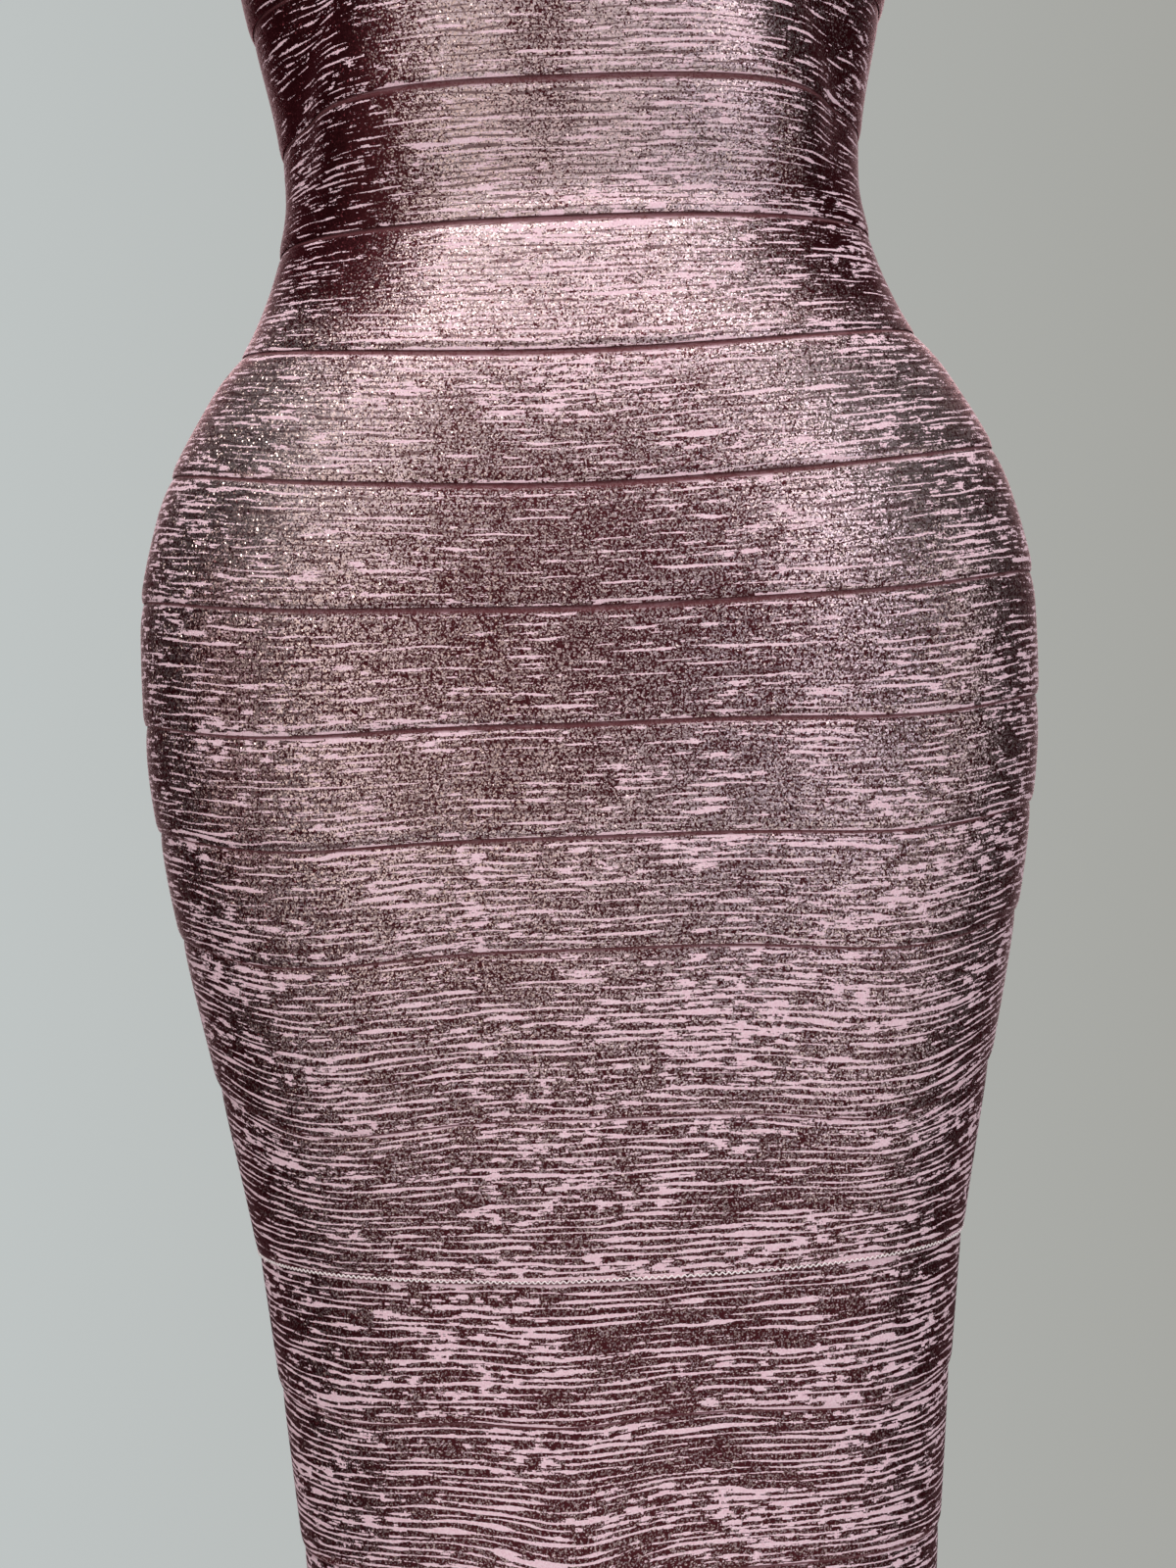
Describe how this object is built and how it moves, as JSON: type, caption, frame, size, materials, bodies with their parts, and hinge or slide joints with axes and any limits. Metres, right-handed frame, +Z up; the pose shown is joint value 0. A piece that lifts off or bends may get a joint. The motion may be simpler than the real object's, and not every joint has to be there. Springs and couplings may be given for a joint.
{
  "type": "banded bodycon midi dress",
  "caption": "Hollow worn form of a sleeveless banded bodycon dress: stretch-knit bands lapped one over another from neckline to hem, with shoulder straps, in rose foil on pink.",
  "frame": {"origin": "middle of the shoulder line, between the undersides of the two straps, where the wearer's shoulders carry the dress", "axes": "+Z up from hem to shoulders, -Y towards the front of the dress, +X towards the dress's own left side"},
  "size_m": [0.36, 0.2477, 1.1065],
  "materials": {
    "foiled_knit": "thick pink rayon and elastane bandage knit, printed with a ragged rose metallic foil in crosswise streaks"
  },
  "bodies": {
    "root": {"band_01_top_edge": "foiled_knit", "band_02_bust": "foiled_knit", "band_03_bust": "foiled_knit", "band_04_ribs": "foiled_knit", "band_05_waist": "foiled_knit", "band_06_waist": "foiled_knit", "band_07_high_hip": "foiled_knit", "band_08_high_hip": "foiled_knit", "band_09_hip": "foiled_knit", "band_10_hip": "foiled_knit", "band_11_seat": "foiled_knit", "band_12_seat": "foiled_knit", "band_13_thigh": "foiled_knit", "band_14_thigh": "foiled_knit", "band_15_thigh": "foiled_knit", "band_16_knee": "foiled_knit", "band_17_knee": "foiled_knit", "band_18_hem": "foiled_knit", "strap_left": "foiled_knit", "strap_right": "foiled_knit"}
  },
  "joints": []
}
